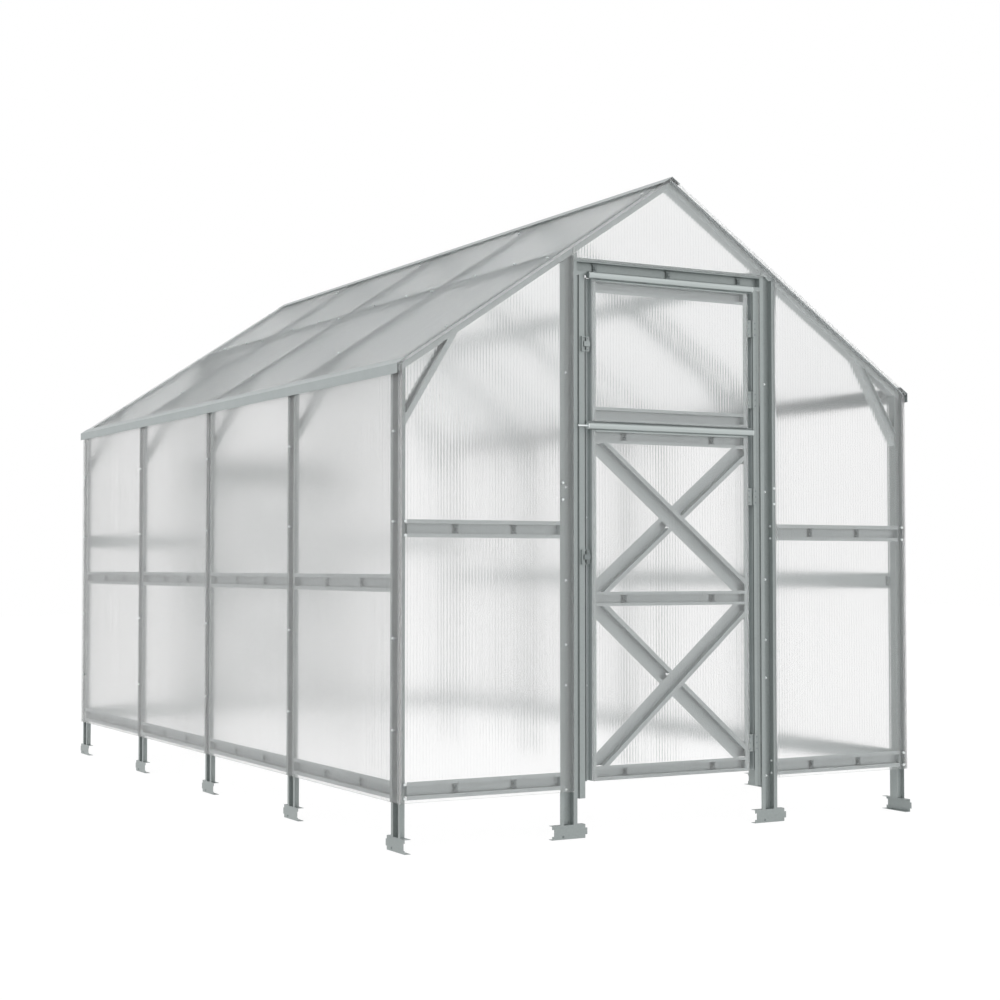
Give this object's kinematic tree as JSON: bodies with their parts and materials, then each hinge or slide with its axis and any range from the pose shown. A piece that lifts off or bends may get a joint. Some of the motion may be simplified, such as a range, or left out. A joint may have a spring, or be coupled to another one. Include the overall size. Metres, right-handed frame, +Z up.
{
  "type": "gabled polycarbonate garden greenhouse",
  "caption": "Walk-in gabled greenhouse: a frame of steel hat sections on low feet, clad in twin wall sheets, with a braced door and a window over it.",
  "frame": {"origin": "on the ground, under the middle of the house", "axes": "+Z up, -Y out of the front gable that has the working door, +Y along the ridge to the back gable, +X to the right as seen from the front"},
  "size_m": [2.463, 4.168, 2.6262],
  "materials": {
    "galvanised_section": "satin galvanised",
    "cap_strip": "satin galvanised",
    "drip_bar": "satin",
    "fittings": "zinc plated",
    "twin_wall_sheet": "clear twin wall polycarbonate"
  },
  "bodies": {
    "house": {"back_crown_sheet": "twin_wall_sheet", "back_door_braces": "galvanised_section", "back_door_posts": "galvanised_section", "back_drip_bars": "drip_bar", "back_fittings": "fittings", "back_head_rail": "galvanised_section", "back_jambs": "galvanised_section", "back_leaf_frames": "galvanised_section", "back_leaf_sheets": "twin_wall_sheet", "back_left_sheet": "twin_wall_sheet", "back_rails": "galvanised_section", "back_right_sheet": "twin_wall_sheet", "eave_caps": "cap_strip", "feet": "galvanised_section", "front_crown_sheet": "twin_wall_sheet", "front_door_posts": "galvanised_section", "front_head_rail": "galvanised_section", "front_jamb_hinge_leaves": "fittings", "front_jambs": "galvanised_section", "front_left_sheet": "twin_wall_sheet", "front_rails": "galvanised_section", "front_right_sheet": "twin_wall_sheet", "front_window_bar": "drip_bar", "front_window_fittings": "fittings", "front_window_frame": "galvanised_section", "front_window_sheet": "twin_wall_sheet", "knee_braces": "galvanised_section", "left_posts": "galvanised_section", "left_rafters": "galvanised_section", "left_rails": "galvanised_section", "left_roof_sheets": "twin_wall_sheet", "left_wall_sheets": "twin_wall_sheet", "purlins": "galvanised_section", "ridge_cap": "cap_strip", "right_posts": "galvanised_section", "right_rafters": "galvanised_section", "right_rails": "galvanised_section", "right_roof_sheets": "twin_wall_sheet", "right_wall_sheets": "twin_wall_sheet"},
    "front_door": {"front_door_bar": "drip_bar", "front_door_braces": "galvanised_section", "front_door_frame": "galvanised_section", "front_door_hinge_leaves": "fittings", "front_door_latch": "fittings", "front_door_sheet": "twin_wall_sheet"}
  },
  "joints": [
    {"name": "front_door_hinge", "type": "hinge", "parent": "house", "child": "front_door", "pos_m": [0.406, -2.045, 0.906], "axis": [0, 0, 1], "range_deg": [0, 110]}
  ]
}
